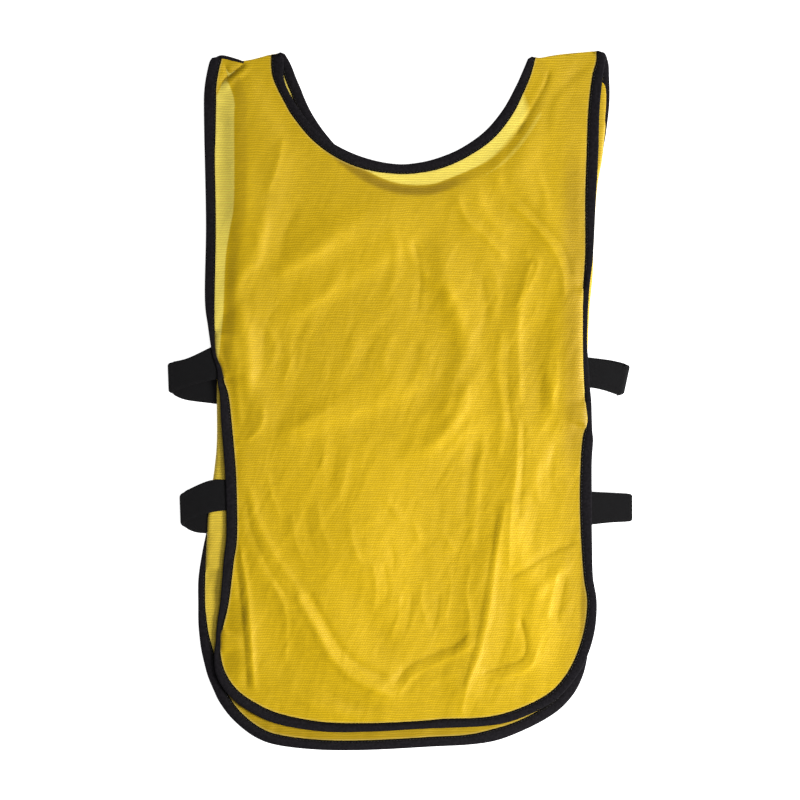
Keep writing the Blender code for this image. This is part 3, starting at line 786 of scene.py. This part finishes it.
def front_looks(points):
    """Colouring of the front: double over the back, and dark over a binding beneath it.

    It is loose at the right shoulder, where it stands off the back. Along the right edge the
    back's binding is turned under both layers, and painted shade darkens the edge beyond it.
    Its crease heights give painted light on ridges and painted shade in troughs.
    """
    distance, covered = from_seen_edge(front, points)
    to_back, _ = from_seen_edge(back, points)
    under_back, within_tape = tape_under(back, points)
    under_own, _ = tape_under(front, points)
    corner = np.array(TURNED_CORNER + TURNED_CORNER[:1], float)
    to_corner, _, _ = nearest(points, corner, np.zeros((len(corner), 1)))
    to_corner = np.where(inside(points, corner[:-1]), to_corner, -to_corner)
    doubled = np.maximum.reduce([to_back, within_tape, to_corner])
    across, along = points.T
    loose = smooth_step(across, *LOOSE_ACROSS) * smooth_step(along, *LOOSE_ALONG)
    loose *= across < LOOSE_TO
    doubled = doubled * (1 - LOOSE_FADES * loose)
    doubled += DOUBLE_DEPTH * loose * smooth_step(along, *DOUBLE_AGAIN)
    # Darkening along the right edge: partly the back's binding showing through, partly painted shade
    # along the rest of the edge.
    binding_show_and_edge_shade = smooth_step(across, *RIGHT_EDGE)
    binding_show_and_edge_shade *= BELOW_SHARE + (1 - BELOW_SHARE) * smooth_step(along, *TURNED_FROM)
    binding_show_and_edge_shade *= 1 - ABOVE_FADES * smooth_step(along, *TURNED_TO)
    return {
        "over_back": np.clip(doubled, -FAR, FAR),
        "tape_show_and_shade": np.maximum.reduce(
            [under_back, under_own * covered, TURNED_SHADE * binding_show_and_edge_shade]
        ),
        "from_edge": distance,
        # The crease heights, which give painted light on ridges and painted shade in troughs
        "crease": np.clip(crease_height(points), -CREASE_SHADE_LIMIT, CREASE_SHADE_LIMIT),
    }


sharp = [smooth_path(route, 1.5) for width, _, route in CREASES if width < SHARP_BELOW]
front_cloth = cloth_sheet("front_cloth", front, front_height, front_looks, mesh_cloth, sharp)
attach(front_cloth, "root")
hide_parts("front_panel")


# The bindings
# Black knitted polyester tape, folded over each cut edge and stitched through with black thread
# near its inner side. Where an edge has rolled under, the tape lies beneath the cloth.
TAPE_SECTION = (
    # share_of_width, across, up: the cloth sits in the slot between the two layers
    (0, 0.00, 1.42), (0, 0.18, 1.72), (0, 0.70, 1.80), (0, 1.20, 1.66), (0, 1.70, 1.64),
    (0, 2.20, 1.80), (0.5, 0.00, 1.86), (1, -1.60, 1.80), (1, -0.70, 1.62), (1, -0.20, 1.28),
    (1, 0.00, 0.90), (1, -0.20, 0.52), (1, -0.70, 0.18), (1, -1.60, 0.02), (0.5, 0.00, 0.00),
    (0, 0.30, 0.02), (0, 0.00, 0.30), (0, 0.10, 0.60), (1, -1.40, 0.62), (1, -1.10, 0.90),
    (1, -1.40, 1.18), (0, 0.10, 1.20),
)
STITCH_ROW = 1.45
STITCH_PITCH = 3.0
STITCH_LENGTH = 2.2
STITCH_RADIUS = 0.22
STITCH_SINKS = 0.12

binding_tape = bpy.data.materials.new("black satin knit tape, folded")
binding_tape.use_nodes = True
tree = binding_tape.node_tree
tape_shader = tree.nodes["Principled BSDF"]
across_tape = add_node(tree, "Attribute", attribute_name="across").outputs["Fac"]
along_tape = add_node(tree, "Attribute", attribute_name="along").outputs["Fac"]
# Painted shade: the tape's inner side, where it meets the cloth, is coloured a darker brown-black.
inner_painted_shade = add_node(
    tree, "MapRange", {"Value": across_tape, "From Min": 0.4, "From Max": 3.2}
).outputs[0]
tape_colour_and_shade = add_node(
    tree, "Mix", {"Factor": inner_painted_shade, 6: linear("#0F0C05"), 7: linear("#1C1A1D")},
    data_type="RGBA",
).outputs[2]
rib_turn = add_node(
    tree, "Math", {0: along_tape, 1: 2 * math.pi / 0.9}, operation="MULTIPLY"
).outputs[0]
rib = add_node(tree, "Math", {0: rib_turn}, operation="SINE").outputs[0]
tape_place = add_node(tree, "TexCoord").outputs["Object"]
lint = add_node(tree, "TexNoise", {"Vector": tape_place, "Scale": 420.0, "Detail": 2.0}).outputs[0]
lint_share = add_node(
    tree, "MapRange",
    {"Value": lint, "From Min": 0.35, "From Max": 0.75, "To Min": 0.8, "To Max": 1.5},
).outputs[0]
tape_tone = add_node(
    tree, "VectorMath", {0: tape_colour_and_shade, "Scale": lint_share}, operation="SCALE"
).outputs[0]
tape_ribs = add_node(tree, "Bump", {"Height": rib, "Strength": 0.35, "Distance": 0.0002}).outputs[0]
tree.links.new(tape_tone, tape_shader.inputs["Base Color"])
tree.links.new(tape_ribs, tape_shader.inputs["Normal"])
tape_shader.inputs["Roughness"].default_value = 0.55
tape_shader.inputs["Specular IOR Level"].default_value = 0.04
tape_shader.inputs["Sheen Weight"].default_value = 0.02
tape_shader.inputs["Sheen Tint"].default_value = linear("#8C8494")

black_thread = bpy.data.materials.new("black polyester sewing thread")
black_thread.use_nodes = True
tree = black_thread.node_tree
thread_shader = tree.nodes["Principled BSDF"]
thread_place = add_node(tree, "TexCoord").outputs["Object"]
twist = add_node(
    tree, "TexWave", {"Vector": thread_place, "Scale": 900.0, "Distortion": 1.0}
).outputs["Fac"]
twisted = add_node(
    tree, "Mix", {"Factor": twist, 6: linear("#161514"), 7: linear("#2B292B")}, data_type="RGBA"
).outputs[2]
tree.links.new(twisted, thread_shader.inputs["Base Color"])
thread_shader.inputs["Roughness"].default_value = 0.45


def lofted(name, sections, values, material):
    """A mesh in mm through sections of equal count, each point with its across and along."""
    sections = np.array(sections, float)
    count, corners, _ = sections.shape
    faces = []
    for here in range(count - 1):
        for corner in range(corners):
            after = (corner + 1) % corners
            faces.append((here * corners + corner, here * corners + after,
                          (here + 1) * corners + after, (here + 1) * corners + corner))
    faces.append(tuple(range(corners)))
    faces.append(tuple((count - 1) * corners + corner for corner in range(corners)))
    data = bpy.data.meshes.new(name)
    data.from_pydata([tuple(p) for p in sections.reshape(-1, 3) * MM], [], faces)
    for attribute, value in values.items():
        stored = data.attributes.new(attribute, "FLOAT", "POINT")
        stored.data.foreach_set("value", np.asarray(value, np.float32).ravel())
    data.materials.append(material)
    mesh = bmesh.new()
    mesh.from_mesh(data)
    bmesh.ops.recalc_face_normals(mesh, faces=mesh.faces[:])
    mesh.to_mesh(data)
    mesh.free()
    data.shade_smooth()
    made = bpy.data.objects.new(name, data)
    bpy.context.collection.objects.link(made)
    return made


def tape_along(name, edge, level, curl):
    """The folded tape along one edge, and a row of stitches in its groove."""
    inner = edge["points"] + edge["normals"] * edge["inner"][:, None]
    outer = edge["points"] + edge["normals"] * edge["outer"][:, None]
    width = (edge["outer"] - edge["inner"])[:, None]
    low_inner = level(inner)
    low_outer = level(outer)
    share, across, up = np.array(TAPE_SECTION).T
    offset = share * width + across
    part = np.clip(offset / width, 0, 1)
    flat = inner[:, None] + edge["normals"][:, None] * offset[..., None]
    heights = low_inner[:, None] * (1 - part) + (low_outer[:, None] + curl) * part + up
    sections = np.concatenate([flat, heights[..., None]], axis=2)
    steps = np.linalg.norm(np.diff(edge["points"], axis=0), axis=1)
    length = np.concatenate([[0], np.cumsum(steps)])
    along = np.repeat(length[:, None], len(share), axis=1)
    tape = lofted(name, sections, {"across": offset, "along": along}, binding_tape)

    row = inner + edge["normals"] * STITCH_ROW
    tops = low_inner + TAPE_WALL - STITCH_SINKS
    mesh = bmesh.new()
    for start in np.arange(2.0, length[-1] - STITCH_LENGTH - 1, STITCH_PITCH):
        ends = []
        for place in (start, start + STITCH_LENGTH):
            ends.append(Vector([np.interp(place, length, v) for v in (*row.T, tops)]) * MM)
        run = ends[1] - ends[0]
        side = run.cross(Vector((0, 0, 1))).normalized()
        rings = []
        for travel, size, sunk in ((0, 0.35, 1), (0.15, 1, 0), (0.85, 1, 0), (1, 0.35, 1)):
            centre = ends[0] + run * travel - Vector((0, 0, sunk * STITCH_SINKS * MM))
            rings.append([
                mesh.verts.new(
                    centre
                    + side * (math.cos(turn) * STITCH_RADIUS * size * MM)
                    + Vector((0, 0, math.sin(turn) * STITCH_RADIUS * size * MM))
                )
                for turn in np.linspace(0, 2 * math.pi, 6, endpoint=False)
            ])
        for ring, following in zip(rings, rings[1:]):
            for here in range(6):
                after = (here + 1) % 6
                mesh.faces.new((ring[here], ring[after], following[after], following[here]))
        mesh.faces.new(rings[0])
        mesh.faces.new(rings[-1])
    bmesh.ops.recalc_face_normals(mesh, faces=mesh.faces[:])
    data = bpy.data.meshes.new(name + "_stitches")
    mesh.to_mesh(data)
    mesh.free()
    data.materials.append(black_thread)
    data.shade_smooth()
    stitches = bpy.data.objects.new(name + "_stitches", data)
    bpy.context.collection.objects.link(stitches)
    for piece in (tape, stitches):
        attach(piece, "root")
    return tape, stitches, length[-1]


BINDINGS = (
    # name, edge, level, curl at its outer side, replaced
    ("back_edge_tape", back["side"], flat_on_surface, 0.0, "edge_binding_back"),
    ("back_neck_tape", back["neck"], flat_on_surface, 0.0, "neck_binding_back"),
    ("front_edge_tape", front["side"], on_back_panel, 1.1, "edge_binding_front"),
    ("front_neck_tape", front["neck"], on_back_panel, 0.5, "neck_binding_front"),
)
for name, edge, level, curl, replaced in BINDINGS:
    tape, stitches, run = tape_along(name, edge, level, curl)
    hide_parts(replaced)


# The back's binding comes over the left shoulder as a narrow roll, and ends against the front's.
OVER_SHOULDER = (
    # across, along, half_width
    (-175, 311.5, 1.2), (-171.5, 315.6, 1.6), (-165.5, 318.6, 1.7), (-153, 315.8, 1.5),
    (-145, 313.4, 0.9),
)
SHOULDER_HEIGHT = 3.2
path = smooth_path(OVER_SHOULDER, 1.5)
turns = np.linspace(0, 2 * math.pi, 12, endpoint=False)
flat = path[:, None, :2] + outward(path[:, :2])[:, None] * path[:, None, 2:] * np.cos(turns)[:, None]
up = np.broadcast_to(SHOULDER_HEIGHT + np.sin(turns)[None, :, None], flat[..., :1].shape)
sections = np.concatenate([flat, up], axis=2)
along = np.repeat(np.arange(len(path))[:, None] * 1.5, len(turns), axis=1)
shoulder_tape = lofted(
    "back_edge_tape_over_shoulder", sections, {"across": np.full_like(along, 5), "along": along},
    binding_tape,
)
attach(shoulder_tape, "root")
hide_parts("edge_binding_back")


# The side straps
# Four lengths of black woven elastic 30 mm wide, sewn between the layers at the front's edge,
# folded back on themselves in a flat loop and sewn to the back's edge.
STRAPS = (
    # name, replaced, rows of top_across, top_along, bottom_across, bottom_along, height:
    # across is 0 where an end follows the edge that it is sewn to
    ("left_upper_strap", "strap_left_upper", (
        (0, 50, 0, 20, 4.4), (-197, 39, -193, 14, 4.2), (-214, 35, -213, 7, 3.3),
        (-214, 34, -213, 6, 0.75), (-196, 29, -199, 0, 0.75), (0, 25, 0, -4, 0.75),
    )),
    ("left_lower_strap", "strap_left_lower", (
        (0, -74, 0, -102, 4.4), (-178, -75, -178, -105, 4.6), (-203, -86, -202, -114, 3.3),
        (-203, -90, -202, -118, 0.75), (-192, -93, -190, -123, 0.75), (0, -96, 0, -124, 0.75),
    )),
    ("right_upper_strap", "strap_right_upper", (
        (0, 39, 0, 12, 4.4), (190, 37, 189, 9, 4.1), (210, 31, 204, 4, 3.3),
        (213, 33, 207, 5, 0.75), (196, 37, 193, 9, 0.75), (0, 40, 0, 12, 0.75),
    )),
    ("right_lower_strap", "strap_right_lower", (
        (0, -85, 0, -116, 3.1), (195, -86, 195, -114, 3.3), (214, -87, 214, -113, 3.3),
        (214, -87, 214, -113, 0.75), (195, -86, 195, -113, 0.75), (0, -85, 0, -115, 0.75),
    )),
)
ELASTIC_WALL = 1.4
LOOP_RADIUS = 1.3
ELASTIC_WIDTH = 30.0
FOLD_CORNER = 2.6
SEWN_UNDER = 2.0
# The share of the wall at the strap's sides, and how fast it thickens from there
SIDE_SHARE = 0.45
SIDE_RISE = 6
ROUNDED_ROWS = 3

woven_elastic = bpy.data.materials.new("black woven elastic, matt polyester")
woven_elastic.use_nodes = True
tree = woven_elastic.node_tree
elastic_shader = tree.nodes["Principled BSDF"]
across_strap = add_node(tree, "Attribute", attribute_name="across").outputs["Fac"]
along_strap = add_node(tree, "Attribute", attribute_name="along").outputs["Fac"]
cord_turn = add_node(
    tree, "Math", {0: across_strap, 1: 2 * math.pi / 1.6}, operation="MULTIPLY"
).outputs[0]
cords = add_node(tree, "Math", {0: cord_turn}, operation="SINE").outputs[0]
weft_turn = add_node(
    tree, "Math", {0: along_strap, 1: 2 * math.pi / 0.8}, operation="MULTIPLY"
).outputs[0]
weft = add_node(tree, "Math", {0: weft_turn}, operation="SINE").outputs[0]
woven = add_node(tree, "Math", {0: cords, 1: weft}, operation="MULTIPLY").outputs[0]
woven_share = add_node(
    tree, "MapRange", {"Value": woven, "From Min": -1.0, "From Max": 1.0}
).outputs[0]
elastic_colour = add_node(
    tree, "Mix", {"Factor": woven_share, 6: linear("#090909"), 7: linear("#1A191B")},
    data_type="RGBA",
).outputs[2]
elastic_bump = add_node(
    tree, "Bump", {"Height": woven, "Strength": 0.5, "Distance": 0.0003}
).outputs[0]
tree.links.new(elastic_colour, elastic_shader.inputs["Base Color"])
tree.links.new(elastic_bump, elastic_shader.inputs["Normal"])
elastic_shader.inputs["Roughness"].default_value = 0.8
elastic_shader.inputs["Specular IOR Level"].default_value = 0.15
elastic_shader.inputs["Sheen Weight"].default_value = 0.02

front_line = front["side"]["points"] + front["side"]["normals"] * front["side"]["outer"][:, None]
back_reach = np.maximum(back["side"]["outer"], 0)
back_line = back["side"]["points"] + back["side"]["normals"] * back_reach[:, None]


def edge_across(line, along, side):
    """Where an edge line lies across, at one height up the bib's side."""
    half = line[np.sign(line[:, 0]) == side]
    half = half[np.argsort(half[:, 1])]
    return np.interp(along, half[:, 1], half[:, 0])


for name, replaced, rows in STRAPS:
    rows = np.array(rows, float)
    side = np.sign(rows[1, 0])
    for row, line in ((rows[0], front_line), (rows[-1], back_line)):
        for column in (0, 2):
            row[column] = edge_across(line, row[column + 1], side) - side * SEWN_UNDER
    front_layer = smooth_path(rows[:3], 2.0)
    back_layer = smooth_path(rows[3:], 2.0)
    turn = []
    for angle in np.linspace(0, math.pi, 10)[1:-1]:
        part = (1 - math.cos(angle)) / 2
        row = front_layer[-1] * (1 - part) + back_layer[0] * part
        row[[0, 2]] += side * LOOP_RADIUS * math.sin(angle)
        turn.append(row)
    path = np.vstack([front_layer, turn, back_layer])
    tops = path[:, [0, 1, 4]]
    bottoms = path[:, [2, 3, 4]]
    travel = np.gradient((tops + bottoms) / 2, axis=0)
    normals = np.cross(travel, tops - bottoms)
    normals /= np.linalg.norm(normals, axis=1, keepdims=True)
    edge_parts = np.array([0, 0.015, 0.035, 0.06, 0.09])
    parts = np.array([*edge_parts, *np.linspace(0.14, 0.86, 9), *(1 - edge_parts[::-1])])
    from_side = np.minimum(parts, 1 - parts)
    thick = ELASTIC_WALL / 2 * np.minimum(1, SIDE_SHARE + SIDE_RISE * from_side)
    # The corners of the fold are rounded off.
    from_fold = np.abs(np.arange(len(path)) - len(front_layer) - len(turn) / 2 + 0.5)
    near_fold = 1 - smooth_step(np.maximum(from_fold - len(turn) / 2, 0), 0, ROUNDED_ROWS)
    to_side = np.minimum(1, from_side * ELASTIC_WIDTH / FOLD_CORNER)
    pulled = FOLD_CORNER * (1 - np.sqrt(1 - (1 - to_side) ** 2))
    upper = []
    lower = []
    for part, half_wall, pull in zip(parts, thick, pulled):
        middle = tops + (bottoms - tops) * part
        middle[:, 0] -= side * pull * near_fold
        upper.append(middle + normals * half_wall)
        lower.append(middle - normals * half_wall)
    sections = np.stack(upper + lower[::-1], axis=1)
    steps = np.linalg.norm(np.diff((tops + bottoms) / 2, axis=0), axis=1)
    length = np.concatenate([[0], np.cumsum(steps)])
    across = np.concatenate([parts, parts[::-1]]) * ELASTIC_WIDTH
    values = {
        "across": np.repeat(across[None], len(length), axis=0),
        "along": np.repeat(length[:, None], len(across), axis=1),
    }
    strap = lofted(name, sections, values, woven_elastic)
    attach(strap, "root")
    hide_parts(replaced)
